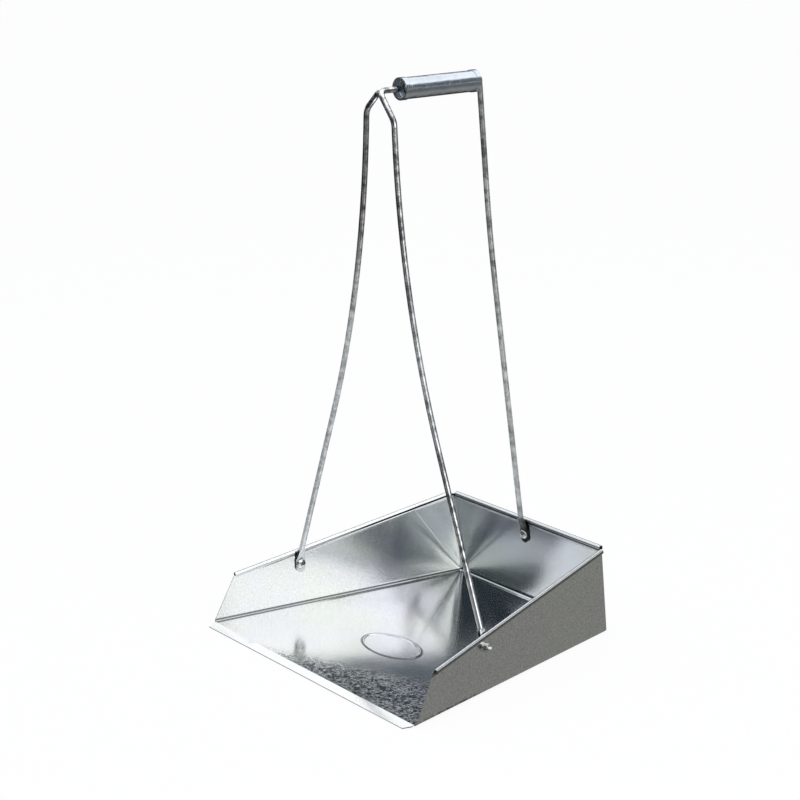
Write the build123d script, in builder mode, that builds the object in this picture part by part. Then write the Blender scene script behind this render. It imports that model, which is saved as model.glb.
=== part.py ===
from build123d import *
import os
from math import acos, atan, atan2, cos, degrees, radians, sin, tan

os.makedirs("parts", exist_ok=True)

# Driving dimensions in mm. Y is counted from the front fold line of the pan and Z from the
# underside of its floor; each finished piece is then set down on the ground by REST.
SHEET = 0.6
FRONT_HALF = 175.0
REAR_HALF = 121.4
DEPTH = 315.3
REAR_HEIGHT = 101.0
REAR_LEAN = 13.2
RIM_Y = 26.4
RIM_Z = 52.1
BEND = 3.0
CURL = 2.8
CURL_JUT = 0.7
CURL_END = -105.0
CURL_GAP = 4.5
LIP = 12.0
LIP_ANGLE = radians(4.0)
LIP_HALF = 171.5
LIP_HEM_STOP = 1.5
PLEAT_Y = 251.0
PLEAT_BACK = 2.2
OVAL_AT = (5.0, 106.6)
OVAL_HALF = (41.0, 25.0)
OVAL_BEAD = 3.0
OVAL_RISE = 0.8

WIRE = 3.0
PLATE_WIDTH = 11.0
PLATE_THICK = 2.4
PLATE_BELOW = 10.5
PLATE_ABOVE = 5.2
NECK_WIDTH = 9.0
SIDE_HOLE_Y = 105.0
SIDE_HOLE_Z = 49.5
REAR_HOLE_Z = 82.3
HOLE = 2.75
LEG_NECK = (151.2, 104.0, 68.0)
LEG_BOW = (30.7, 100.0, 392.8)
RIGHT_SHOULDER = (22.0, 98.7, 565.0)
LEFT_SHOULDER = (-22.0, 98.7, 573.0)
APEX = (0.0, 97.5, 593.3)
REAR_BEND_Y = 229.5
REAR_BOW = (0.0, 245.5, 432.0)
REAR_NECK = (0.0, 296.6, 101.0)
BOW_RADIUS = 1050.0
SHOULDER_RADIUS = 16.0
APEX_RADIUS = 7.0
REAR_RADIUS = 6.0
REAR_BOW_RADIUS = 2000.0
WELD = 3.6

GRIP = 11.0
GRIP_WALL = 0.8
GRIP_REAR_Y = 223.4
GRIP_LENGTH = 100.0
GRIP_RIM = 11.6
CAP_EDGE = 6.0
CAP_RING = 2.2
CAP_RECESS = 7.0
CAP_LENGTH = 12.0
CAP_PLAY = 0.05

SCREW = 2.5
SCREW_LENGTH = 12.0
HEAD = 5.25
HEAD_HEIGHT = 3.2
CROSS = (5.8, 1.3)
CROSS_DEPTH = 1.7
WASHER = 5.0
WASHER_THICK = 1.0
NUT_FLATS = 8.0
NUT_HEIGHT = 4.0

# Angles that follow from the folded outline.
TAPER = (FRONT_HALF - REAR_HALF) / DEPTH
TURN = atan(TAPER)
LEAN = atan2(REAR_LEAN, REAR_HEIGHT)
REAR_TOP_Y = DEPTH - REAR_LEAN
RIM_SLOPE = (REAR_HEIGHT - RIM_Z) / (REAR_TOP_Y - RIM_Y)
RIM_ANGLE = atan(RIM_SLOPE * cos(TURN))

# At rest the pan stands on the nose of the lip and on the rear fold, so the floor is tipped
# by a fraction of a degree. The bar of the handle is level in that pose.
NOSE_DROP = (LIP - SHEET) * sin(LIP_ANGLE) + SHEET * cos(LIP_ANGLE)
STAND = DEPTH - BEND
TIP = atan(NOSE_DROP / (STAND + LIP - SHEET))
Y_MIDDLE = 151.43
REST = Location((0, -Y_MIDDLE, STAND * sin(TIP)), (-degrees(TIP), 0, 0))


def half_width(y):
    return FRONT_HALF - TAPER * y


def rim_height(y):
    return RIM_Z + RIM_SLOPE * (y - RIM_Y)


def bar_height(y):
    return APEX[2] + (y - APEX[1]) * tan(TIP)


def tub_corners(inset, front):
    """Plan corners of the folded tub on its floor, moved inwards by inset."""
    rear = DEPTH - inset / cos(LEAN)
    side = inset / cos(TURN)
    right = [(half_width(front) - side, front), (half_width(rear) - side, rear)]
    return right + [(-x, y) for x, y in reversed(right)]


def rear_wall(depth):
    """Plane of the leaning rear wall at a depth below its outside face, facing backwards."""
    foot = (0, DEPTH - depth / cos(LEAN), 0)
    return Plane(origin=foot, x_dir=(-1, 0, 0), z_dir=(0, cos(LEAN), sin(LEAN)))


def fold_edges(part, z):
    """The three floor folds and the two rear corners of a tub whose floor is at height z."""
    floor = part.edges().filter_by_position(Axis.Z, z - 0.01, z + 0.01).sort_by(Axis.Y)[1:]
    rear = part.edges().filter_by(lambda e: e.center().Y > 200 and abs(e.center().Z - z) > 1)
    return floor + rear.filter_by(lambda e: abs(e.center().X) > 50 and abs(e.tangent_at(0.5).Z) > 0.5)


def wall_plane(side, depth):
    """Side wall at a depth below its outside face: x runs to the rear, y up, z towards +X."""
    return Plane(
        origin=(side * (FRONT_HALF - depth / cos(TURN)), 0, 0),
        x_dir=(-side * sin(TURN), cos(TURN), 0),
        z_dir=(cos(TURN), side * sin(TURN), 0),
    )


def rolled(rim):
    """Room and section of the bead that a top edge is rolled into; x is outwards, y up."""
    centre = (CURL - SHEET - CURL_JUT, -CURL)
    inside = 180 + degrees(acos(1 - CURL_JUT / CURL))
    outside = 180 + degrees(acos(1 - CURL_JUT / (CURL - SHEET)))
    with BuildSketch(rim) as room:
        with Locations(centre):
            Circle(CURL - SHEET / 2)
    with BuildSketch(rim) as bead:
        with BuildLine():
            outer = CenterArc(centre, CURL, inside, CURL_END - inside)
            inner = CenterArc(centre, CURL - SHEET, outside, CURL_END - outside)
            Line(outer @ 1, inner @ 1)
            Polyline(outer @ 0, (-SHEET, -CURL - 4), (0, -CURL - 4), inner @ 0)
        make_face()
    return room.sketch, bead.sketch


def foot_plane(foot, depth):
    """Plane at a foot's hole, below the outside of its wall: y up the wall, z outwards."""
    if foot == "rear":
        hole = Vector(0, DEPTH - REAR_HOLE_Z * tan(LEAN), REAR_HOLE_Z)
        out = Vector(0, cos(LEAN), sin(LEAN))
        across = Vector(-1, 0, 0)
    else:
        side = 1 if foot == "right" else -1
        hole = Vector(side * half_width(SIDE_HOLE_Y), SIDE_HOLE_Y, SIDE_HOLE_Z)
        out = Vector(side * cos(TURN), sin(TURN), 0)
        across = Vector(-sin(TURN), side * cos(TURN), 0)
    return Plane(origin=hole - out * depth, x_dir=across, z_dir=out)


def plate_outline(foot):
    """Flattened end of a wire on the inside of its wall, with a round end and a screw hole."""
    half = PLATE_WIDTH / 2
    with BuildSketch(foot_plane(foot, SHEET)) as outline:
        with BuildLine():
            Line((half, half - PLATE_BELOW), (half, PLATE_ABOVE))
            Line((half, PLATE_ABOVE), (-half, PLATE_ABOVE))
            Line((-half, PLATE_ABOVE), (-half, half - PLATE_BELOW))
            ThreePointArc((-half, half - PLATE_BELOW), (0, -PLATE_BELOW), (half, half - PLATE_BELOW))
        make_face()
        Circle(HOLE, mode=Mode.SUBTRACT)
    return outline.sketch


def flattening(foot, neck, upwards):
    """Sections of the run where the round wire is hammered out to the width of the plate."""
    seat = foot_plane(foot, SHEET + PLATE_THICK / 2)
    top = seat.from_local_coords((0, PLATE_ABOVE, 0))
    with BuildSketch(Plane(origin=neck, x_dir=seat.x_dir, z_dir=upwards)) as round_end:
        SlotOverall(NECK_WIDTH, 2 * WIRE + 0.1)
    with BuildSketch(Plane(origin=top, x_dir=seat.x_dir, z_dir=seat.y_dir)) as flat_end:
        SlotOverall(PLATE_WIDTH - 0.2, PLATE_THICK - 0.1)
    return [round_end.sketch, flat_end.sketch]


def bent(corners, radii):
    """Runs (two points) and bends (three points) of a wire led round the given corners."""
    points = [Vector(*p) for p in corners]
    start = points[0]
    pieces = []
    for before, corner, after, radius in zip(points, points[1:], points[2:], radii):
        into = (corner - before).normalized()
        out = (after - corner).normalized()
        half = radians(into.get_angle(out)) / 2
        inside = (out - into).normalized()
        enter = corner - into * (radius * tan(half))
        leave = corner + out * (radius * tan(half))
        middle = corner + inside * (radius / cos(half) - radius)
        pieces += [(start, enter), (enter, middle, leave)]
        start = leave
    return pieces + [(start, points[-1])]


def set_down(part, name):
    """Move a finished piece into the rest pose, label it and write it."""
    piece = part.moved(REST)
    piece.label = name
    export_step(piece, f"parts/{name}.step")


# The space inside the pan, rounded at the folds.
with BuildPart() as hollow:
    with BuildSketch(Plane.XY.offset(SHEET)):
        with BuildLine():
            Polyline(*tub_corners(SHEET, -20), close=True)
        make_face()
    extrude(amount=REAR_HEIGHT)
    split(bisect_by=rear_wall(SHEET), keep=Keep.BOTTOM)
    fillet(fold_edges(hollow, SHEET), BEND - SHEET)

# Pan: floor, side walls and rear wall are one sheet with a small radius at every fold.
with BuildPart() as pan:
    with BuildSketch():
        with BuildLine():
            Polyline(*tub_corners(0, 0), close=True)
        make_face()
    extrude(amount=REAR_HEIGHT)
    split(bisect_by=rear_wall(0), keep=Keep.BOTTOM)
    fillet(fold_edges(pan, 0), BEND)
    add(hollow.part, mode=Mode.SUBTRACT)

    # The walls rise to the rear and start with a sloping front edge.
    drop = CURL / cos(atan(RIM_SLOPE))
    front_slope = RIM_Z / RIM_Y
    cut_y = (RIM_Z - drop - RIM_SLOPE * RIM_Y) / (front_slope - RIM_SLOPE)
    with BuildSketch(Plane.YZ):
        with BuildLine():
            Polyline(
                (0, -5),
                (0, 0),
                (cut_y, cut_y * front_slope),
                (REAR_TOP_Y, REAR_HEIGHT - drop),
                (DEPTH + 10, REAR_HEIGHT - drop),
                (DEPTH + 10, -5),
                close=True,
            )
        make_face()
    extrude(amount=FRONT_HALF + 10, both=True, mode=Mode.INTERSECT)

    # The top edges are rolled outwards into a hollow bead that swells a little to the inside.
    rim_run = (REAR_TOP_Y - RIM_Y) / cos(TURN) / cos(RIM_ANGLE) - CURL_GAP
    for side in (1, -1):
        level = cos(RIM_ANGLE)
        rim = Plane(
            origin=(side * half_width(RIM_Y), RIM_Y, RIM_Z),
            x_dir=(side * cos(TURN), sin(TURN), 0),
            z_dir=(sin(TURN) * level, -side * cos(TURN) * level, -side * sin(RIM_ANGLE)),
        )
        room, bead = rolled(rim)
        extrude(room, amount=-side * rim_run, mode=Mode.SUBTRACT)
        extrude(bead, amount=-side * rim_run)
    rear_half = half_width(REAR_TOP_Y) - CURL_GAP
    rear_rim = Plane(
        origin=(-rear_half, REAR_TOP_Y, REAR_HEIGHT),
        x_dir=(0, cos(LEAN), sin(LEAN)),
        z_dir=(1, 0, 0),
    )
    room, bead = rolled(rear_rim)
    extrude(room, amount=2 * rear_half, mode=Mode.SUBTRACT)
    extrude(bead, amount=2 * rear_half)

    # The spare sheet of each rear corner is folded flat inside the side wall, two layers thick.
    for side in (1, -1):
        with BuildSketch(wall_plane(side, SHEET)):
            with BuildLine():
                back = DEPTH - PLEAT_BACK / cos(LEAN)
                low = BEND + 0.2
                high = rim_height(REAR_TOP_Y) - CURL - 2.6
                Polyline(
                    ((back - low * tan(LEAN)) / cos(TURN), low),
                    ((back - high * tan(LEAN)) / cos(TURN), high),
                    (PLEAT_Y / cos(TURN), rim_height(PLEAT_Y) - CURL - 2.6),
                    close=True,
                )
            make_face()
        extrude(amount=-side * 2 * SHEET)

    # The lip slopes down to the ground and is hemmed underneath.
    def lip_point(along, below):
        return (
            -along * cos(LIP_ANGLE) - below * sin(LIP_ANGLE),
            SHEET - along * sin(LIP_ANGLE) - below * cos(LIP_ANGLE),
        )

    with BuildSketch(Plane.YZ):
        with BuildLine():
            nose_top = lip_point(LIP - SHEET, 0)
            nose_low = lip_point(LIP - SHEET, 2 * SHEET)
            Polyline((2, SHEET), (0, SHEET), nose_top)
            ThreePointArc(nose_top, lip_point(LIP, SHEET), nose_low)
            Polyline(
                nose_low,
                lip_point(LIP_HEM_STOP, 2 * SHEET),
                lip_point(LIP_HEM_STOP, SHEET),
                (0, 0),
                (2, 0),
                (2, SHEET),
            )
        make_face()
    extrude(amount=LIP_HALF, both=True)
    with BuildSketch(Plane.XY.offset(-4)):
        for side in (1, -1):
            with BuildLine():
                Polyline(
                    (side * (LIP_HALF - 4.5), -LIP - 1),
                    (side * (LIP_HALF + 1), -LIP - 1),
                    (side * (LIP_HALF + 1), -1),
                    close=True,
                )
            make_face()
    extrude(amount=8, mode=Mode.SUBTRACT)

    # A plain oval bead is pressed up in the floor, with its groove on the underside.
    for inset, slope, mode in ((0, 0.6, Mode.ADD), (OVAL_BEAD, -0.6, Mode.SUBTRACT)):
        with BuildSketch(Plane((*OVAL_AT, SHEET))):
            Ellipse(OVAL_HALF[0] - inset, OVAL_HALF[1] - inset)
        with BuildSketch(Plane((*OVAL_AT, SHEET + OVAL_RISE))):
            Ellipse(OVAL_HALF[0] - inset - slope, OVAL_HALF[1] - inset - slope)
        loft(ruled=True, mode=mode)
    with BuildSketch(Plane((*OVAL_AT, 0))):
        Ellipse(OVAL_HALF[0] - 0.9, OVAL_HALF[1] - 0.9)
        Ellipse(OVAL_HALF[0] - OVAL_BEAD + 0.9, OVAL_HALF[1] - OVAL_BEAD + 0.9, mode=Mode.SUBTRACT)
    extrude(amount=OVAL_RISE, mode=Mode.SUBTRACT)

    # Holes for the three foot screws.
    for foot in ("left", "right", "rear"):
        with BuildSketch(foot_plane(foot, 0)):
            Circle(HOLE)
        extrude(amount=3, both=True, mode=Mode.SUBTRACT)

set_down(pan.part, "pan")

# Main wire: rear leg, grip bar and right front leg are one bent length with a flattened foot
# at each end.
main_corners = [
    LEG_NECK,
    LEG_BOW,
    RIGHT_SHOULDER,
    APEX,
    (0, REAR_BEND_Y, bar_height(REAR_BEND_Y)),
    REAR_BOW,
    REAR_NECK,
]
main_radii = [BOW_RADIUS, SHOULDER_RADIUS, APEX_RADIUS, REAR_RADIUS, REAR_BOW_RADIUS]

with BuildPart() as main_wire:
    with BuildLine() as main_run:
        for piece in bent(main_corners, main_radii):
            if len(piece) == 2:
                Line(*piece)
            else:
                ThreePointArc(*piece)
    with BuildSketch(Plane(origin=main_run.line @ 0, z_dir=main_run.line % 0)):
        Circle(WIRE)
    sweep()
    loft(flattening("right", LEG_NECK, main_run.line % 0))
    extrude(plate_outline("right"), amount=-PLATE_THICK)
    loft(flattening("rear", REAR_NECK, -(main_run.line % 1)))
    extrude(plate_outline("rear"), amount=-PLATE_THICK)

set_down(main_wire.part, "main_wire")

# Left wire: the other front leg, coped onto the apex bend of the main wire.
left_corners = [(-x, y, z) for x, y, z in (LEG_NECK, LEG_BOW)]
left_corners += [LEFT_SHOULDER, (-1.4, APEX[1] + 0.1, APEX[2] - 1.7)]

with BuildPart() as left_wire:
    with BuildLine() as left_run:
        for piece in bent(left_corners, [BOW_RADIUS, SHOULDER_RADIUS]):
            if len(piece) == 2:
                Line(*piece)
            else:
                ThreePointArc(*piece)
    with BuildSketch(Plane(origin=left_run.line @ 0, z_dir=left_run.line % 0)):
        Circle(WIRE)
    sweep()
    loft(flattening("left", left_corners[0], left_run.line % 0))
    extrude(plate_outline("left"), amount=-PLATE_THICK)
    add(main_wire.part, mode=Mode.SUBTRACT)

set_down(left_wire.part, "left_wire")

# Weld bead that fills the corner between the two wires.
with BuildPart() as apex_weld:
    with BuildSketch(Plane(origin=(-1.0, APEX[1] - 2.4, APEX[2] - 3.0), z_dir=(0, 1, 0.15))):
        Circle(WELD)
    extrude(amount=5.2)
    add(main_wire.part, mode=Mode.SUBTRACT)
    add(left_wire.part, mode=Mode.SUBTRACT)

set_down(apex_weld.part, "apex_weld")


def grip_plane(y, towards):
    """Plane across the bar at y, facing forwards (-1) or backwards (1) along it."""
    along = Vector(0, cos(TIP), sin(TIP)) * towards
    return Plane(origin=(0, y, bar_height(y)), x_dir=(1, 0, 0), z_dir=along)


# Grip: a thin tube that turns on the bar, carried by a collared cap at each end.
with BuildPart() as grip_tube:
    with BuildSketch(grip_plane(GRIP_REAR_Y - CAP_EDGE, -1)):
        Circle(GRIP)
        Circle(GRIP - GRIP_WALL, mode=Mode.SUBTRACT)
    extrude(amount=GRIP_LENGTH - 2 * CAP_EDGE)

set_down(grip_tube.part, "grip_tube")

cap_profile = [
    (GRIP_RIM, CAP_EDGE),
    (GRIP_RIM, 0.0),
    (GRIP_RIM - CAP_RING, 0.0),
    (GRIP_RIM - CAP_RING, CAP_RECESS),
    (WIRE + CAP_PLAY, CAP_RECESS),
    (WIRE + CAP_PLAY, CAP_LENGTH),
    (GRIP - GRIP_WALL - 0.05, CAP_LENGTH),
    (GRIP - GRIP_WALL - 0.05, CAP_EDGE),
]
for cap, end, inwards in (("front", GRIP_REAR_Y - GRIP_LENGTH, 1), ("rear", GRIP_REAR_Y, -1)):
    face = grip_plane(end, inwards)
    with BuildPart() as grip_cap:
        with BuildSketch(Plane(origin=face.origin, x_dir=face.x_dir, z_dir=-face.y_dir)):
            with BuildLine():
                Polyline(*cap_profile, close=True)
            make_face()
        revolve(axis=Axis(face.origin, face.z_dir))
    set_down(grip_cap.part, f"grip_cap_{cap}")

# Screw, washer and nut at each foot. The cross-recessed heads are inside the pan.
for foot, turn in (("left", 25), ("right", 70), ("rear", 40)):
    seat = foot_plane(foot, SHEET + PLATE_THICK)
    with BuildPart() as screw:
        with BuildSketch(seat):
            Circle(HEAD)
        extrude(amount=-HEAD_HEIGHT)
        crown = screw.edges().filter_by(GeomType.CIRCLE).sort_by(Axis(seat.origin, seat.z_dir))[0]
        chamfer(crown, 1.6, 2.2)
        with BuildSketch(seat.offset(-HEAD_HEIGHT)):
            Rectangle(*CROSS, rotation=turn)
            Rectangle(*CROSS, rotation=turn + 90)
        extrude(amount=CROSS_DEPTH, mode=Mode.SUBTRACT)
        with BuildSketch(seat):
            Circle(SCREW)
        extrude(amount=SCREW_LENGTH)
        tip = screw.edges().filter_by(GeomType.CIRCLE).sort_by(Axis(seat.origin, seat.z_dir))[-1]
        chamfer(tip, 0.6)
    set_down(screw.part, f"screw_{foot}")

    with BuildPart() as washer:
        with BuildSketch(foot_plane(foot, 0)):
            Circle(WASHER)
            Circle(SCREW + 0.15, mode=Mode.SUBTRACT)
        extrude(amount=WASHER_THICK)
    set_down(washer.part, f"washer_{foot}")

    base = foot_plane(foot, -WASHER_THICK)
    with BuildPart() as nut:
        with BuildSketch(base):
            RegularPolygon(NUT_FLATS / 2, 6, major_radius=False, rotation=turn)
            Circle(SCREW + 0.05, mode=Mode.SUBTRACT)
        extrude(amount=NUT_HEIGHT)
        with BuildSketch(Plane(origin=base.origin, x_dir=base.x_dir, z_dir=base.y_dir)):
            with BuildLine():
                Polyline(
                    (NUT_FLATS / 2 - 0.1, -NUT_HEIGHT),
                    (NUT_FLATS / 2 + 1.5, -NUT_HEIGHT),
                    (NUT_FLATS / 2 + 1.5, 0.9 - NUT_HEIGHT),
                    close=True,
                )
            make_face()
        revolve(axis=Axis(base.origin, base.z_dir), mode=Mode.SUBTRACT)
    set_down(nut.part, f"nut_{foot}")
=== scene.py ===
# %% [markdown]
# # A metal dustpan with a wire handle
#
# The pan is one folded sheet of galvanised steel with rolled rims. Its handle is bent from
# 6 mm wire, bolted to three walls, and carries a loose tube as a grip. The solids come from
# the CAD model and stay where they are. This script gives them their finishes, adds the small
# details that solids leave out, and sets up a studio like the one in the photograph.

# %% Load the solids
import bmesh
import bpy
from math import cos, pi, radians, sin, tau
from mathutils import Euler, Matrix, Vector, noise


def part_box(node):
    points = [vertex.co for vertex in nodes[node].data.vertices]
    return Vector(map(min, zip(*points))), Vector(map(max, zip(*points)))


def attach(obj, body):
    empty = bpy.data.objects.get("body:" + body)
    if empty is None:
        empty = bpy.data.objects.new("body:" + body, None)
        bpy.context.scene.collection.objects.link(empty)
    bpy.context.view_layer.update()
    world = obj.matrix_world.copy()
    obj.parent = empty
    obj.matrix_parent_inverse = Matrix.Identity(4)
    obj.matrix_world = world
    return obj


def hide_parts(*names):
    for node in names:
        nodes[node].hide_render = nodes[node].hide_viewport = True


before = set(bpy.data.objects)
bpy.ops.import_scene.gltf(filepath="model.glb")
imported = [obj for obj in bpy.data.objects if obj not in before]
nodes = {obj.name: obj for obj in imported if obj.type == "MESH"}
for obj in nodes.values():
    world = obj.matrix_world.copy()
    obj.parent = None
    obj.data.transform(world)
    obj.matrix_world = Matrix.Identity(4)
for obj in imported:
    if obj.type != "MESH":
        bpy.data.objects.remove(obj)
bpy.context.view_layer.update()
print("solids:", ", ".join(sorted(nodes)))

# %% [markdown]
# ## Helpers
#
# Colours are written as the hex values that a picture editor shows, so one function turns
# them to the linear numbers that the renderer works in. Patterns are given by their real size
# in millimetres, and a texture's scale is one over that size in metres. The other functions
# add shader nodes, which keeps the materials short to read. A material here is mostly a set
# of ramps: a ramp turns a place or a noise into a share from 0 to 1, and the share mixes two
# colours or lifts the surface.

# %% Colour and scale
WHITE = (1, 1, 1, 1)


def linear(hex_colour):
    """Linear colour of a hex value."""
    parts = [int(hex_colour[i:i + 2], 16) / 255 for i in (1, 3, 5)]
    return [p / 12.92 if p <= 0.04045 else ((p + 0.055) / 1.055) ** 2.4 for p in parts] + [1.0]


def per_mm(size):
    """Scale of a noise whose features have a size in millimetres."""
    return 1000.0 / size


def bands_per_mm(size):
    """Scale of a wave texture with one band in a length in millimetres."""
    return per_mm(size) * tau / 20


print("white is", linear("#ffffff"))

# %% Numbers and vectors in shader nodes
def add(tree, kind, links=None, **settings):
    """Add a node. Each link is a socket to read from or a plain value."""
    node = tree.nodes.new(kind)
    for name, value in settings.items():
        setattr(node, name, value)
    for socket, value in (links or {}).items():
        if isinstance(value, bpy.types.NodeSocket):
            tree.links.new(value, node.inputs[socket])
        else:
            node.inputs[socket].default_value = value
    return node


def ramp(tree, value, start, end, low=0.0, high=1.0):
    """Number that goes from low to high while a value goes from start to end."""
    links = {0: value, 1: start, 2: end, 3: low, 4: high}
    return add(tree, "ShaderNodeMapRange", links).outputs[0]


def soft_ramp(tree, value, start, end, low=0.0, high=1.0):
    """Ramp that starts and ends slowly."""
    links = {0: value, 1: start, 2: end, 3: low, 4: high}
    return add(tree, "ShaderNodeMapRange", links, interpolation_type="SMOOTHSTEP").outputs[0]


def band(tree, value, start, full, stop, end):
    """Line that is 1 between full and stop, and 0 before start and after end."""
    return times(tree, soft_ramp(tree, value, start, full), soft_ramp(tree, value, stop, end, 1.0, 0.0))


def maths(tree, operation, *values):
    """Number worked out from one to three numbers."""
    return add(tree, "ShaderNodeMath", dict(enumerate(values)), operation=operation).outputs[0]


def times(tree, first, *others):
    """Product of numbers."""
    for other in others:
        first = maths(tree, "MULTIPLY", first, other)
    return first


def largest(tree, first, *others):
    """Largest of several numbers."""
    for other in others:
        first = maths(tree, "MAXIMUM", first, other)
    return first


def measure(tree, operation, *vectors):
    """Number worked out from vectors, such as a length or a dot product."""
    node = add(tree, "ShaderNodeVectorMath", dict(enumerate(vectors)), operation=operation)
    return node.outputs["Value"]


def vector(tree, operation, *vectors):
    """Vector worked out from vectors."""
    node = add(tree, "ShaderNodeVectorMath", dict(enumerate(vectors)), operation=operation)
    return node.outputs["Vector"]


def axes(tree, of):
    """X, Y and Z of a vector."""
    return add(tree, "ShaderNodeSeparateXYZ", {0: of}).outputs


def speckle(tree, where, size, detail, roughness=0.5, distortion=0.0):
    """Noise from 0 to 1 with features of a size in millimetres."""
    links = {"Vector": where, "Scale": per_mm(size), "Detail": detail}
    links.update({"Roughness": roughness, "Distortion": distortion})
    return add(tree, "ShaderNodeTexNoise", links).outputs["Fac"]


print("helpers: ramps, bands, sums, vectors and noise")

# %% Colours and surfaces in shader nodes
def blend(tree, share, one, other):
    """Colour between two colours."""
    return add(tree, "ShaderNodeMix", {0: share, 6: one, 7: other}, data_type="RGBA").outputs[2]


def bumped(tree, height, distance, under=None):
    """Normal of a surface lifted by a height times a distance in metres."""
    links = {"Height": height, "Strength": 1.0, "Distance": distance}
    if under is not None:
        links["Normal"] = under
    return add(tree, "ShaderNodeBump", links).outputs[0]


def painted_corner_shade(tree, reach, closed, clear, colour, painted_shade):
    """Colour with painted shade in the inner corners that are found within a reach in metres."""
    corner = add(tree, "ShaderNodeAmbientOcclusion", {"Distance": reach}, samples=8)
    return blend(tree, ramp(tree, corner.outputs["AO"], closed, clear), painted_shade, colour)


def new_material(name):
    """Empty material and its tree of nodes."""
    material = bpy.data.materials.new(name)
    material.use_nodes = True
    material.node_tree.nodes.clear()
    return material, material.node_tree


def surface(tree, shader):
    """End a material with a shader."""
    add(tree, "ShaderNodeOutputMaterial", {"Surface": shader.outputs[0]})


def metal(tree, colour, roughness, normal=None, metallic=1.0):
    """End a material as metal."""
    links = {"Base Color": colour, "Metallic": metallic, "Roughness": roughness}
    if normal is not None:
        links["Normal"] = normal
    surface(tree, add(tree, "ShaderNodeBsdfPrincipled", links))


def dress(material, *names):
    """Give a material to solids."""
    for name in names:
        nodes[name].data.materials.clear()
        nodes[name].data.materials.append(material)
    print(material.name, "on", ", ".join(names))


print("helpers: blends, bumps and surfaces")

# %% [markdown]
# ## Camera
#
# The photograph was taken from the front right, a little above the rim of the pan, with a
# longish lens. Its place was worked out from the corners of the pan and the bends of the
# handle. The lens is off the middle of the picture by a hair, so the frame is shifted.

# %% Camera
CAMERA_AT = Vector((1.5613, -1.2956, 0.8551))
CAMERA_AZIMUTH = 50.527
CAMERA_ELEVATION = 16.096
CAMERA_ROLL = -0.24
LENS = 90.54
SENSOR = 36.0
SHIFT = (-0.01616, -0.00357)
FARTHEST = 100.0

lens = bpy.data.cameras.new("camera")
lens.lens = LENS
lens.sensor_width = SENSOR
lens.shift_x, lens.shift_y = SHIFT
lens.clip_end = FARTHEST
camera = bpy.data.objects.new("camera", lens)
camera.location = CAMERA_AT
tilt = Euler((radians(90 - CAMERA_ELEVATION), 0, radians(CAMERA_AZIMUTH)), "XYZ").to_matrix()
camera.rotation_euler = (tilt @ Matrix.Rotation(radians(CAMERA_ROLL), 3, "Z")).to_euler()
bpy.context.scene.collection.objects.link(camera)
bpy.context.scene.camera = camera
print("camera", [round(v, 3) for v in camera.location])

# %% [markdown]
# ## Studio
#
# Bare zinc is a soft mirror, so it shows what stands around it more than its own colour. The
# studio is dim near the ground and bright above. A large soft box stands on the right, a small
# light at the front left, and a dark card beside the camera. The dim band gives the floor of
# the pan its dark corner, and it hangs lower in two directions, where the walls show more of
# the bright part. The soft box fills the rest of the floor. The camera itself sees white.
#
# On the ground lies a grey cloth that only reflections see, so the floor stays pale. It is
# darker on the left, and a pale strip of it on the right shows in the outside of the right
# wall. A wide lamp overhead gives the soft shadow under the pan.

# %% World
DIM_BAND = linear("#4f5860")
BAND_EDGE = (0.485, 0.555)
LOWER_LEFT = ((-0.93, -0.36, 0), 0.5, 0.95)
LOWER_LEFT_BY = 0.21
LOWER_FRONT = ((0.5, -0.86, 0), 0.6, 0.85)
LOWER_FRONT_BY = 0.025
HAZE_IN_FRONT = (0.72, 0.76, 0.76, 1.0)
HAZE_BEHIND = (1.3, 1.31, 1.33, 1.0)
HAZE_CHANGE = ((0, 1, 0), -0.5, 0.3)
OVERHEAD = (0.74, 0.79, 0.83, 1.0)
OVERHEAD_EDGE = (0.6, 1.0)
DARK_CARD = ((0.5, -0.82, 0.14), 24, 8, linear("#26303a"))
SOFT_BOX = ((0.93, -0.04, 0.36), 32, 22.5, (1.47, 1.47, 1.47, 1.0))
SMALL_LIGHT = ((-0.68, -0.50, 0.53), 18, 8, (0.95, 0.98, 1.03, 1.0))

world = bpy.data.worlds.new("studio")
bpy.context.scene.world = world
world.use_nodes = True
tree = world.node_tree
tree.nodes.clear()
ray = add(tree, "ShaderNodeTexCoord").outputs["Generated"]
upwards = axes(tree, ray)["Z"]


def facing(tree, towards, start, end):
    """Share of a direction in the way a ray goes, by the cosine between the two."""
    return soft_ramp(tree, measure(tree, "DOT_PRODUCT", ray, towards), start, end)


def card(tree, behind, towards, edge, core, colour):
    """Round card in a direction, with a soft edge between two angles in degrees."""
    mask = facing(tree, Vector(towards).normalized(), cos(radians(edge)), cos(radians(core)))
    return blend(tree, mask, behind, colour)


haze = blend(tree, facing(tree, *HAZE_CHANGE), HAZE_IN_FRONT, HAZE_BEHIND)
dome = blend(tree, ramp(tree, upwards, *OVERHEAD_EDGE), haze, OVERHEAD)
raised = maths(tree, "MULTIPLY_ADD", facing(tree, *LOWER_LEFT), LOWER_LEFT_BY, upwards)
raised = maths(tree, "MULTIPLY_ADD", facing(tree, *LOWER_FRONT), LOWER_FRONT_BY, raised)
sky = blend(tree, soft_ramp(tree, raised, *BAND_EDGE), DIM_BAND, dome)
for one in (DARK_CARD, SOFT_BOX, SMALL_LIGHT):
    sky = card(tree, sky, *one)
seen = add(tree, "ShaderNodeLightPath").outputs
sky = blend(tree, seen["Is Camera Ray"], sky, WHITE)
background = add(tree, "ShaderNodeBackground", {"Color": sky, "Strength": 1.0})
add(tree, "ShaderNodeOutputWorld", {"Surface": background.outputs[0]})
print("world:", len(tree.nodes), "nodes")

# %% Floor
FLOOR_HALF = 30.0
FLOOR_HEIGHT = -0.0005
FLOOR_GLOW = 0.92


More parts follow.
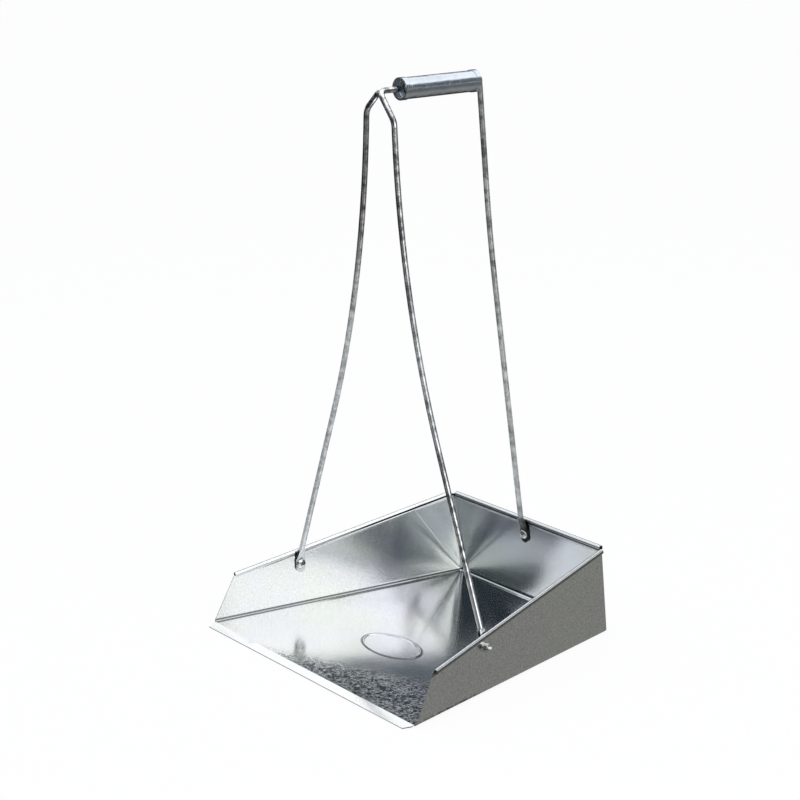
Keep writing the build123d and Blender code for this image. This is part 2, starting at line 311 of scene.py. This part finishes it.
def plane(name, half, height):
    """Square of the stage, level at a height."""
    mesh = bpy.data.meshes.new(name)
    corners = [(-half, -half), (half, -half), (half, half), (-half, half)]
    mesh.from_pydata([(x, y, height) for x, y in corners], [], [(0, 1, 2, 3)])
    made = bpy.data.objects.new(name, mesh)
    bpy.context.scene.collection.objects.link(made)
    return made


floor = plane("floor", FLOOR_HALF, FLOOR_HEIGHT)
paper, tree = new_material("studio_paper")
where = add(tree, "ShaderNodeTexCoord").outputs["Object"]
tone = blend(tree, speckle(tree, where, 40, 2.0), linear("#f4f4f4"), linear("#f8f8f8"))
matte = add(tree, "ShaderNodeBsdfDiffuse", {"Color": tone})
white = add(tree, "ShaderNodeEmission", {"Color": WHITE, "Strength": 1.0})
seen = add(tree, "ShaderNodeLightPath").outputs
shown = largest(tree, *[seen[f"Is {kind} Ray"] for kind in ("Camera", "Glossy", "Transmission")])
glow = {0: times(tree, shown, FLOOR_GLOW), 1: matte.outputs[0], 2: white.outputs[0]}
surface(tree, add(tree, "ShaderNodeMixShader", glow))
floor.data.materials.append(paper)
print("floor", floor.name)

# %% Cloth that only reflections see
CLOTH_HALF = 12.0
CLOTH_HEIGHT = -0.0002
LEFT_TO_MIDDLE = (-0.35, 0.15)
MIDDLE_TO_RIGHT = (0.45, 0.70)
STRIP_EDGE = (0.36, 0.24)

cloth = plane("reflected_cloth", CLOTH_HALF, CLOTH_HEIGHT)
cloth.visible_camera = False
cloth.visible_diffuse = False
cloth.visible_shadow = False
felt, tree = new_material("grey_felt")
x, y = axes(tree, add(tree, "ShaderNodeTexCoord").outputs["Object"])[:2]
right = soft_ramp(tree, x, *MIDDLE_TO_RIGHT)
strip = times(tree, soft_ramp(tree, maths(tree, "ABSOLUTE", y), *STRIP_EDGE), right)
tone = blend(tree, soft_ramp(tree, x, *LEFT_TO_MIDDLE), linear("#3c3c3a"), linear("#8a8a87"))
tone = blend(tree, right, tone, linear("#66686b"))
tone = blend(tree, strip, tone, linear("#dcdcd8"))
surface(tree, add(tree, "ShaderNodeEmission", {"Color": tone, "Strength": 1.0}))
cloth.data.materials.append(felt)
print("cloth", cloth.name)

# %% Lamp
LAMP_SIZE = 3.0
LAMP_WATTS = 25.0
LAMP_AT = (0.6, -0.3, 3.2)

lamp = bpy.data.lights.new("ceiling", "AREA")
lamp.shape = "DISK"
lamp.size = LAMP_SIZE
lamp.energy = LAMP_WATTS
ceiling = bpy.data.objects.new("ceiling", lamp)
ceiling.location = LAMP_AT
bpy.context.scene.collection.objects.link(ceiling)
print("lamp", lamp.energy, "W")

# %% [markdown]
# ## Galvanised sheet: where things are
#
# Everything on the sheet is worked out from the place on the pan, so no map has to be
# painted, and the painted shade comes from places too. A plane that follows the rims, one that
# follows the floor and one that follows the rear wall come from a dot product each. The side walls
# lean and taper, so the distance from the middle plus a share of the depth tells the inside of a wall
# from its outside.

# %% Places on the pan
FLOOR_PLANE = (0, 0.0043, 1)
FLOOR_TOP = 0.0013
RIM_PLANE = (0, -0.17307, 1)
RIM = 0.07497
REAR_PLANE = (0, 1, 0.1307)
REAR_WALL = (0.157, 0.162)
TAPER = 0.17
OUTSIDE = 0.1488
TOWARDS_REAR = (-0.10, 0.10, 0.0, 0.97)
FLOOR_EDGE = (0.004, 0.002)
OVAL_AT = (0.005, -0.0448, 0.0)
OVAL_HALF = (0.0395, 0.0235)

zinc, tree = new_material("galvanised_sheet")
where = add(tree, "ShaderNodeTexCoord").outputs["Object"]
x, y, z = axes(tree, where)
above_floor = measure(tree, "DOT_PRODUCT", where, FLOOR_PLANE)
above_rim = measure(tree, "DOT_PRODUCT", where, RIM_PLANE)
back = measure(tree, "DOT_PRODUCT", where, REAR_PLANE)
half = maths(tree, "ABSOLUTE", x)
outwards = maths(tree, "MULTIPLY_ADD", y, TAPER, half)
inside_wall = maths(tree, "LESS_THAN", outwards, OUTSIDE)
outside_wall = maths(tree, "GREATER_THAN", outwards, OUTSIDE)
on_rear = ramp(tree, back, *REAR_WALL)
to_rear = ramp(tree, y, *TOWARDS_REAR)
on_floor = ramp(tree, above_floor, *[FLOOR_TOP + height for height in FLOOR_EDGE])
from_oval = vector(tree, "SUBTRACT", where, OVAL_AT)
oval = vector(tree, "MULTIPLY", from_oval, (1 / OVAL_HALF[0], 1 / OVAL_HALF[1], 0.0))
oval_radius = measure(tree, "LENGTH", oval)
print("sheet:", len(tree.nodes), "nodes for places")

# %% [markdown]
# ## Galvanised sheet: painted shade
#
# Shade is painted into the colour as dark lines: under the rims on both sides of the walls,
# along each curl as a painted dark reflection, in the folds between the floor and the walls,
# and round the oval bead. Each painted line is a band: it fades in, stays and fades out. The
# four numbers of a band are in metres, measured down from the rim, up from the floor or, for
# the line on the curl, outwards from the middle. Those of the oval are shares of its size.

# %% Lines of painted shade
UNDER_BEAD = (0.0054, 0.0044, 0.0028, 0.0018)
REAR_BEAD_LOWER = 0.0008
BELOW_CURL = (0.0085, 0.0068, 0.0026, 0.0012)
TOP_OF_CURL = 0.0022
ALONG_CURL = (0.1519, 0.1522, 0.1527, 0.1530)
SIDE_FOLD = (0.0002, 0.0009, 0.0018, 0.0030)
SIDE_WALL_FOOT = (0.1452, 0.1470)
REAR_FOLD = (0.0007, 0.0012, 0.0020, 0.0034)
REAR_WALL_FOOT = (0.159, 0.161)
ROUND_OVAL = (0.985, 1.02, 1.07, 1.11)

rim_shift = maths(tree, "MULTIPLY_ADD", on_rear, REAR_BEAD_LOWER, above_rim)
inside_rear = times(tree, inside_wall, to_rear)
under_bead = band(tree, rim_shift, *[RIM - depth for depth in UNDER_BEAD])
below_curl = band(tree, above_rim, *[RIM - depth for depth in BELOW_CURL])
on_curl = maths(tree, "GREATER_THAN", above_rim, RIM - TOP_OF_CURL)
at_side = times(tree, ramp(tree, outwards, *SIDE_WALL_FOOT), inside_wall)
side_fold = band(tree, above_floor, *[FLOOR_TOP + height for height in SIDE_FOLD])
at_back = ramp(tree, back, *REAR_WALL_FOOT)
rear_fold = band(tree, above_floor, *[FLOOR_TOP + height for height in REAR_FOLD])
# Painted shade: bands of shadow and dark reflection under the bead, below and along the curl, in the
# folds and round the oval.
painted_shade = largest(
    tree,
    times(tree, under_bead, inside_rear),
    times(tree, below_curl, outside_wall, 0.55),
    times(tree, band(tree, outwards, *ALONG_CURL), on_curl, 0.6),
    times(tree, side_fold, at_side, 0.75),
    times(tree, rear_fold, at_back, 0.6),
    times(tree, band(tree, oval_radius, *ROUND_OVAL), 0.7),
)
print("sheet:", len(tree.nodes), "nodes with dirt")

# %% [markdown]
# ## Galvanised sheet: not quite flat
#
# Thin sheet is never quite flat, and a mirror shows it. It has long waves from the rolling
# mill, and wrinkles that run out like rays from the rear corners, where the spare sheet is
# folded in. A noise that reads only the direction from the corner gives the rays. Wider dents
# fan out from the left corner over the rear wall, and a cosine of the angle gives those. The
# floor is calmer and rises a little to the front, and the side walls lean in there. All these
# are a few millimetres at most, over the length of the pan.

# %% Waves, wrinkles and dents
REAR_CORNER = (0.1205, 0.1630, 0.0010)
RAY_SCALE = 2.0
RAY_START = (18.24, 17.91, -17.74)
RAY_FADE = (0.20, 0.05)
FLOOR_CALM = 0.1
DENT_ANGLE = radians(45)
RIDGE_ANGLE = radians(43)
DENT_END = radians(67)
DENT_FADE = (0.27, 0.08)
DENT_UNDER_RIM = (0.105, 0.045, 0.2, 1.0)

waves = speckle(tree, where, 90, 1.0)
calm = ramp(tree, on_floor, 0.0, 1.0, 1.0, FLOOR_CALM)
mirrored = add(tree, "ShaderNodeCombineXYZ", {0: half, 1: y, 2: z}).outputs[0]
from_corner = vector(tree, "SUBTRACT", mirrored, REAR_CORNER)
distance = measure(tree, "LENGTH", from_corner)
aim = vector(tree, "ADD", vector(tree, "NORMALIZE", from_corner), RAY_START)
rays = add(tree, "ShaderNodeTexNoise", {"Vector": aim, "Scale": RAY_SCALE, "Detail": 0.0}).outputs["Fac"]
wrinkle = times(tree, rays, distance, soft_ramp(tree, distance, *RAY_FADE), calm)

from_left = vector(tree, "SUBTRACT", where, (-REAR_CORNER[0], *REAR_CORNER[1:]))
left_distance = measure(tree, "LENGTH", from_left)
left = axes(tree, from_left)
angle = maths(tree, "MINIMUM", maths(tree, "ARCTAN2", left["Z"], left["X"]), DENT_END)
turns = maths(tree, "MULTIPLY_ADD", angle, tau / DENT_ANGLE, -tau * RIDGE_ANGLE / DENT_ANGLE)
ridge = maths(tree, "COSINE", turns)
near_left = soft_ramp(tree, left_distance, *DENT_FADE)
under_rim = soft_ramp(tree, above_floor, *DENT_UNDER_RIM)
dent = times(tree, ridge, left_distance, near_left, on_rear, under_rim)
print("sheet:", len(tree.nodes), "nodes with waves")

# %% Rise of the floor, lean of the walls, edges of the bead and the lip
FORWARD = (0.3, -0.95, 0)
RISE_LENGTH = 0.19
LEAN_FROM = (0.07, -0.01)
BEAD_EDGE = (0.0074, 0.0064, 0.0060, 0.0050)
LIP_FROM = (-0.1514, -0.1634)

rise = soft_ramp(tree, measure(tree, "DOT_PRODUCT", where, FORWARD), 0.0, RISE_LENGTH)
lean = times(tree, above_floor, soft_ramp(tree, y, *LEAN_FROM), inside_wall)
bead_edge = times(tree, band(tree, rim_shift, *[RIM - depth for depth in BEAD_EDGE]), inside_rear)
lip = ramp(tree, y, *LIP_FROM, 0.0, -1.0)
print("sheet:", len(tree.nodes), "nodes with bends")

# %% [markdown]
# ## Galvanised sheet: zinc and scuffs
#
# Hot-dip zinc freezes in small flat crystals, so the sheet is a satin mirror with a fine
# grain, which shows more on the outside. Sweeping has scuffed the front right of the floor
# into flecks, and the flecks are painted dark as well, a painted dark reflection. The bumps
# lie on top of each other, the long ones first.

# %% Scuffs and bumps
FRONT_RIGHT = (0.43, -1, 0)
SCUFF_EDGE = (0.104, 0.144)
FLOOR_FRONT = -0.1512
UNSCUFFED = 0.02

grain = speckle(tree, where, 1.8, 3.0, 0.6)
flecks = speckle(tree, where, 4.4, 4.0, 0.65, 1.2)
front_right_zone = soft_ramp(tree, measure(tree, "DOT_PRODUCT", where, FRONT_RIGHT), *SCUFF_EDGE)
# Front right of the floor: real scuffs in the bumps, and a painted dark reflection in the colour.
scuffed_and_painted_reflection = times(tree, front_right_zone, maths(tree, "GREATER_THAN", y, FLOOR_FRONT), on_floor)
scuff = times(tree, flecks, ramp(tree, scuffed_and_painted_reflection, 0.0, 1.0, UNSCUFFED, 1.0))
normal = bumped(tree, waves, 0.0005)
for height, size in (
    (rise, 0.0034), (wrinkle, 0.0115), (dent, 0.011), (lean, 0.035), (bead_edge, 0.0005),
    (times(tree, grain, calm), 0.00003), (scuff, 0.00028), (lip, 0.0017),
):
    normal = bumped(tree, height, size, normal)
print("sheet:", len(tree.nodes), "nodes with bumps")

# %% Colour of the sheet
FLECK_EDGE = (0.53, 0.46)
FLECK_SHARE = 0.9
SHEET_ROUGHNESS = 0.13

crystal = ramp(tree, grain, 0.3, 0.7)
fine = blend(tree, crystal, linear("#e6e8e9"), linear("#fafafa"))
coarse = blend(tree, crystal, linear("#c9cbc8"), linear("#ffffff"))
tone = blend(tree, outside_wall, fine, coarse)
tint = blend(tree, ramp(tree, waves, 0.4, 0.6), linear("#f3f5f2"), linear("#f2f2f6"))
tinted = {0: 1.0, 6: tone, 7: tint}
tone = add(tree, "ShaderNodeMix", tinted, data_type="RGBA", blend_type="MULTIPLY").outputs[2]
# Scuffs and painted reflection: dark blue-grey flecks on the front right of the floor.
fleck_and_painted_reflection = times(tree, ramp(tree, flecks, *FLECK_EDGE), scuffed_and_painted_reflection, FLECK_SHARE)
tone = blend(tree, fleck_and_painted_reflection, tone, linear("#2d3c4a"))
# Painted shade: the bands darken the sheet towards near black.
tone = blend(tree, painted_shade, tone, linear("#1f1e1c"))
metal(tree, tone, SHEET_ROUGHNESS, normal)
dress(zinc, "pan")

# %% [markdown]
# ## Plated wire
#
# The wire is drawn steel with a thin coat of zinc. Handling has worn it to a mottled grey, so
# light and dark patches a few millimetres long follow each other along it. Hands polish it
# above. Below, weather has turned the zinc pale and matt, most on the left leg and least on
# the right one, which is still bright. The feet were hammered flat. Their front edges carry
# painted shade, the rear foot a painted dark reflection, and its eye painted shade.

# %% Wear of the wire
MATT_BELOW = (0.48, 0.30)
MATT_BEHIND = (0.07, 0.09, 0.0, 0.45)
MATT_LEFT_TO_RIGHT = (-0.02, 0.02, 0.95, 0.5)
RUBBED_RIGHT = (0.06, 0.10, 1.0, 0.2)
SHINE_WHERE_MATT = 0.25
NEW_ZINC = (0.13, 0.148)

wire_finish, tree = new_material("zinc_plated_wire")
place = add(tree, "ShaderNodeTexCoord").outputs
where = place["Object"]
x, y, z = axes(tree, where)
worn = speckle(tree, where, 10, 4.0, 0.65)
patch = ramp(tree, worn, 0.38, 0.62)
low_or_behind = largest(tree, soft_ramp(tree, z, *MATT_BELOW), ramp(tree, y, *MATT_BEHIND))
matt = times(tree, low_or_behind, ramp(tree, x, *MATT_LEFT_TO_RIGHT), ramp(tree, x, *RUBBED_RIGHT))
bright = blend(tree, patch, linear("#7a7d80"), linear("#ffffff"))
chalky = blend(tree, patch, linear("#aeb0b0"), linear("#f0f1f1"))
tone = blend(tree, matt, bright, chalky)
at_feet = ramp(tree, maths(tree, "ABSOLUTE", x), *NEW_ZINC)
tone = blend(tree, at_feet, tone, linear("#f0f2f4"))
shine = ramp(tree, matt, 0.0, 1.0, 1.0, SHINE_WHERE_MATT)
print("wire:", len(tree.nodes), "nodes for wear")

# %% Feet of the wire
REAR_SCREW = (0.0, 0.1505, 0.0830)
REAR_FOOT_PAINTED_DARK = (0.023, 0.018)
DARK_EYE = (0.0115, 0.0095)
FACING_FRONT = (-0.45, -0.75)
FLATTENED_BELOW = (0.070, 0.066)

from_screw = measure(tree, "DISTANCE", where, REAR_SCREW)
# Painted dark reflection: the rear foot is darkened near the rear screw.
tone = blend(tree, ramp(tree, from_screw, *REAR_FOOT_PAINTED_DARK), tone, linear("#4c514e"))
frontwards = ramp(tree, axes(tree, place["Normal"])["Y"], *FACING_FRONT)
# Painted shade: flattened faces that face the front are darkened, picked by their normal.
front_edge_painted_shade = times(tree, frontwards, ramp(tree, z, *FLATTENED_BELOW))
tone = blend(tree, front_edge_painted_shade, tone, linear("#121212"))
# Painted shade: the eye round the rear screw is near black.
tone = blend(tree, ramp(tree, from_screw, *DARK_EYE), tone, linear("#232424"))
# Painted shade: an ambient occlusion node darkens the wire in its corners, at the feet and joints.
tone = painted_corner_shade(tree, 0.003, 0.35, 0.7, tone, linear("#1d1c1b"))
rough = ramp(tree, worn, 0.35, 0.65, 0.24, 0.12)
normal = bumped(tree, speckle(tree, where, 2.5, 2.0), 0.00008)
metal(tree, tone, rough, normal, shine)
dress(wire_finish, "main_wire", "left_wire")

# %% [markdown]
# ## Grip
#
# The grip is a thin steel tube, a little uneven and turned on a lathe, which leaves fine rings
# that stretch each reflection along the tube. Rings of 2.6 mm are coarser than a lathe leaves,
# because finer ones would not show in the picture. The caps are pale discs, pressed in from
# the ends, with painted shade, a near black ring, round the hole where the bar goes through.

# %% Grip steel
BAR_AT = (0, 0, 0.59422)
CAP_EDGE = (0.0090, 0.0088)
HOLE_EDGE = (0.0048, 0.0040)
TUBE_AND_CAP_ROUGHNESS = (0.22, 0.6)
RING_WAVE = {"Distortion": 0.6, "Detail": 2.0, "Detail Scale": 2.0}

grip_finish, tree = new_material("turned_grip_steel")
where = add(tree, "ShaderNodeTexCoord").outputs["Object"]
rings = {"Vector": where, "Scale": bands_per_mm(2.6), **RING_WAVE}
turned = add(tree, "ShaderNodeTexWave", rings, bands_direction="Y").outputs["Fac"]
uneven = speckle(tree, where, 16, 2.0)
from_bar = vector(tree, "MULTIPLY", vector(tree, "SUBTRACT", where, BAR_AT), (1, 0, 1))
radius = measure(tree, "LENGTH", from_bar)
on_cap = ramp(tree, radius, *CAP_EDGE)
# Painted shade: the cap is near black close round the bar, where the hole lies in shade.
cap = blend(tree, ramp(tree, radius, *HOLE_EDGE), linear("#c4c9cf"), linear("#0c0d0e"))
tone = blend(tree, on_cap, blend(tree, uneven, linear("#c6ced8"), linear("#eef3f8")), cap)
rough = ramp(tree, on_cap, 0.0, 1.0, *TUBE_AND_CAP_ROUGHNESS)
normal = bumped(tree, turned, 0.00005, bumped(tree, uneven, 0.0009))
metal(tree, tone, rough, normal)
dress(grip_finish, "grip_tube", "grip_cap_front", "grip_cap_rear")

# %% [markdown]
# ## Weld
#
# A bead of weld metal joins the two front legs under the apex. It is duller than the wire and
# has the ripples of a bead that froze as it was laid.

# %% Weld metal
WELD_ROUGHNESS = 0.38

weld_finish, tree = new_material("weld_metal")
where = add(tree, "ShaderNodeTexCoord").outputs["Object"]
scales = {"Vector": where, "Scale": bands_per_mm(1.6), "Distortion": 2.0}
ripple = add(tree, "ShaderNodeTexWave", scales, bands_direction="Z").outputs["Fac"]
tone = blend(tree, speckle(tree, where, 3, 3.0), linear("#6a6866"), linear("#bdbcba"))
metal(tree, tone, WELD_ROUGHNESS, bumped(tree, ripple, 0.00012))
dress(weld_finish, "apex_weld")

# %% [markdown]
# ## Fasteners
#
# Screws, washers and nuts are bright zinc on steel. They are small and all edges, so shade
# painted into the corners says most about them. An ambient occlusion node finds those corners.

# %% Bright zinc
FEET = ("left", "right", "rear")

zinc_bright, tree = new_material("bright_zinc_fastener")
where = add(tree, "ShaderNodeTexCoord").outputs["Object"]
grain = speckle(tree, where, 1.5, 2.0)
tone = blend(tree, grain, linear("#c9cac6"), linear("#f2f2ee"))
# Painted shade: an ambient occlusion node darkens the corners of screws, washers and nuts.
tone = painted_corner_shade(tree, 0.0016, 0.2, 0.6, tone, linear("#1d1c1b"))
metal(tree, tone, ramp(tree, grain, 0.3, 0.7, 0.14, 0.26))
dress(zinc_bright, *[f"{kind}_{foot}" for kind in ("screw", "washer", "nut") for foot in FEET])

# %% [markdown]
# ## Screws with threads
#
# The solids have plain shanks, so each screw is made again here with its thread. A thread is a
# groove wound round the shank: go once round it, and it has moved along by one pitch. The mesh
# is a stack of rings, and the radius at each point comes from how far along it is and where it
# is on the ring. The head is a low dome from the same stack, and a tapered cross, cut out with
# a Boolean, leaves the recess for the driver. The place and the direction of each screw are
# read from its washer.

# %% Ring stack of a screw
SIDES = 32
HEAD = 0.00525
HEAD_HEIGHT = 0.0032
HEAD_FLANK = 0.0012
HEAD_STEPS = 9
CROWN_ANGLE = 84
SHANK = 0.0025
SHANK_LENGTH = 0.012
PITCH = 0.0008
RINGS_PER_TURN = 8
THREAD_DEPTH = 0.00043
THREAD_START = 0.0072
POINT = 0.0006


def thread_radius(along, turn):
    """Radius of the threaded shank at a distance from the head and a share of a full turn."""
    phase = (along / PITCH - turn) % 1.0
    groove = 1.0 - abs(2.0 * phase - 1.0)
    return min(SHANK - THREAD_DEPTH * groove, SHANK - max(0.0, along - SHANK_LENGTH + POINT))


def screw_rings():
    """Distance along the screw and the radii of each ring, from the crown of its head."""
    rings = []
    for step in range(HEAD_STEPS):
        angle = radians(CROWN_ANGLE * (1 - step / (HEAD_STEPS - 1)))
        height = HEAD_FLANK + (HEAD_HEIGHT - HEAD_FLANK) * sin(angle)
        rings.append((-height, [HEAD * cos(angle)] * SIDES))
    rings += [(0.0, [HEAD] * SIDES), (0.0, [SHANK] * SIDES), (THREAD_START, [SHANK] * SIDES)]
    count = round((SHANK_LENGTH - THREAD_START) / PITCH * RINGS_PER_TURN)
    for step in range(1, count + 1):
        along = THREAD_START + PITCH / RINGS_PER_TURN * step
        rings.append((along, [thread_radius(along, i / SIDES) for i in range(SIDES)]))
    return rings


def stacked(name, rings):
    """Closed mesh object over a stack of rings with the same number of points."""
    build = bmesh.new()
    loops = []
    for along, radii in rings:
        angles = [tau * i / len(radii) for i in range(len(radii))]
        loops.append([build.verts.new((r * cos(a), r * sin(a), along)) for r, a in zip(radii, angles)])
    for one, other in zip(loops, loops[1:]):
        for i in range(len(one)):
            j = (i + 1) % len(one)
            build.faces.new((one[i], one[j], other[j], other[i]))
    build.faces.new(list(reversed(loops[0])))
    build.faces.new(loops[-1])
    return into_object(name, build)


def into_object(name, build):
    """Object with the mesh of a bmesh, with its faces turned outwards."""
    bmesh.ops.recalc_face_normals(build, faces=build.faces)
    mesh = bpy.data.meshes.new(name)
    build.to_mesh(mesh)
    build.free()
    made = bpy.data.objects.new(name, mesh)
    bpy.context.scene.collection.objects.link(made)
    return made


print("screw:", len(screw_rings()), "rings of", SIDES)

# %% Cross recess and smooth shading
CROSS_ARM = 0.0029
CROSS_WIDTH = 0.0013
CROSS_DEPTH = 0.0017
CROSS_ABOVE = 0.001
CROSS_TAPER = (1.35, 0.5)


def cross_cutter():
    """Tapered cross that leaves the recess in the crown of a head."""
    arm, wide = CROSS_ARM, CROSS_WIDTH / 2
    corner = [Vector((arm, -wide, 0)), Vector((arm, wide, 0)), Vector((wide, wide, 0))]
    outline = [Matrix.Rotation(pi / 2 * k, 3, "Z") @ point for k in range(4) for point in corner]
    build = bmesh.new()
    levels = zip((-HEAD_HEIGHT - CROSS_ABOVE, CROSS_DEPTH - HEAD_HEIGHT), CROSS_TAPER)
    low, high = [[build.verts.new(p * s + Vector((0, 0, z))) for p in outline] for z, s in levels]
    for i in range(len(outline)):
        j = (i + 1) % len(outline)
        build.faces.new((low[i], low[j], high[j], high[i]))
    build.faces.new(low)
    build.faces.new(high)
    return into_object("cross_cutter", build)


def without(body, cutter):
    """Cut one object out of another and remove the cutter."""
    cut = body.modifiers.new("recess", "BOOLEAN")
    cut.object = cutter
    cut.solver = "EXACT"
    whole = body.evaluated_get(bpy.context.evaluated_depsgraph_get())
    mesh = bpy.data.meshes.new_from_object(whole)
    body.modifiers.clear()
    body.data = mesh
    bpy.data.objects.remove(cutter)


def smooth(piece, angle):
    """Smooth shading with sharp edges where faces meet at more than the angle."""
    piece.data.polygons.foreach_set("use_smooth", [True] * len(piece.data.polygons))
    piece.data.set_sharp_from_angle(angle=radians(angle))


print("recess", CROSS_DEPTH * 1000, "mm deep")

# %% Screws at the three feet
SEAT_BELOW_WASHER = 0.0035
DRIVER_TURNS = (25, 70, 40)
SCREW_SHARP = 40

for foot, turn in zip(FEET, DRIVER_TURNS):
    washer = nodes[f"washer_{foot}"].data
    middle = sum((v.co for v in washer.vertices), Vector()) / len(washer.vertices)
    out = max(washer.polygons, key=lambda face: face.area).normal.copy()
    out = out if out.dot(middle) > 0 else -out
    upright = (Vector((0, 0, 1)) - out * out.z).normalized()
    across = upright.cross(out)
    pose = Matrix((across, upright, out)).transposed().to_4x4()
    pose.translation = middle - out * SEAT_BELOW_WASHER
    screw = stacked(f"threaded_screw_{foot}", screw_rings())
    without(screw, cross_cutter())
    screw.data.transform(pose @ Matrix.Rotation(radians(turn), 4, "Z"))
    smooth(screw, SCREW_SHARP)
    screw.data.materials.clear()
    screw.data.materials.append(zinc_bright)
    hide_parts(f"screw_{foot}")
    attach(screw, "pan_and_handle")
    print(screw.name, len(screw.data.polygons), "faces")

# %% [markdown]
# ## Weld bead
#
# Weld metal freezes in overlapping scales as the torch moves on, so the bead is a lump with
# ripples, and no two lumps are the same. The bead is a fine sphere stretched to the box of
# its solid, pushed in and out by a ripple along its height and by a smooth noise.

# %% Weld bead
RIPPLE = 0.0016
RIPPLE_SLANT = 0.3
RIPPLE_SHARE = 0.025
LUMP_SCALE = 2.2
LUMP_SHARE = 0.05
BEAD_SHARE = 0.92
BEAD_SHARP = 60

low, high = [Vector(corner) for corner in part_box("apex_weld")]
middle = (low + high) / 2
reach = (high - low) / 2
build = bmesh.new()
bmesh.ops.create_icosphere(build, subdivisions=4, radius=1.0)
for vert in build.verts:
    way = vert.co.normalized()
    along = way.z * reach.z + RIPPLE_SLANT * way.x * reach.x
    lump = LUMP_SHARE * noise.noise(way * LUMP_SCALE)
    size = BEAD_SHARE + lump + RIPPLE_SHARE * sin(tau * along / RIPPLE)
    vert.co = middle + Vector([w * r for w, r in zip(way, reach)]) * size
bead = into_object("weld_bead", build)
smooth(bead, BEAD_SHARP)
bead.data.materials.append(weld_finish)
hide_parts("apex_weld")
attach(bead, "pan_and_handle")
print(bead.name, len(bead.data.polygons), "faces")

# %% [markdown]
#
# The pieces made here replace solids and stay inside their boxes, so the box round the
# dressed part has to be the box round the solids.

bpy.context.scene.view_settings.view_transform = "Standard"
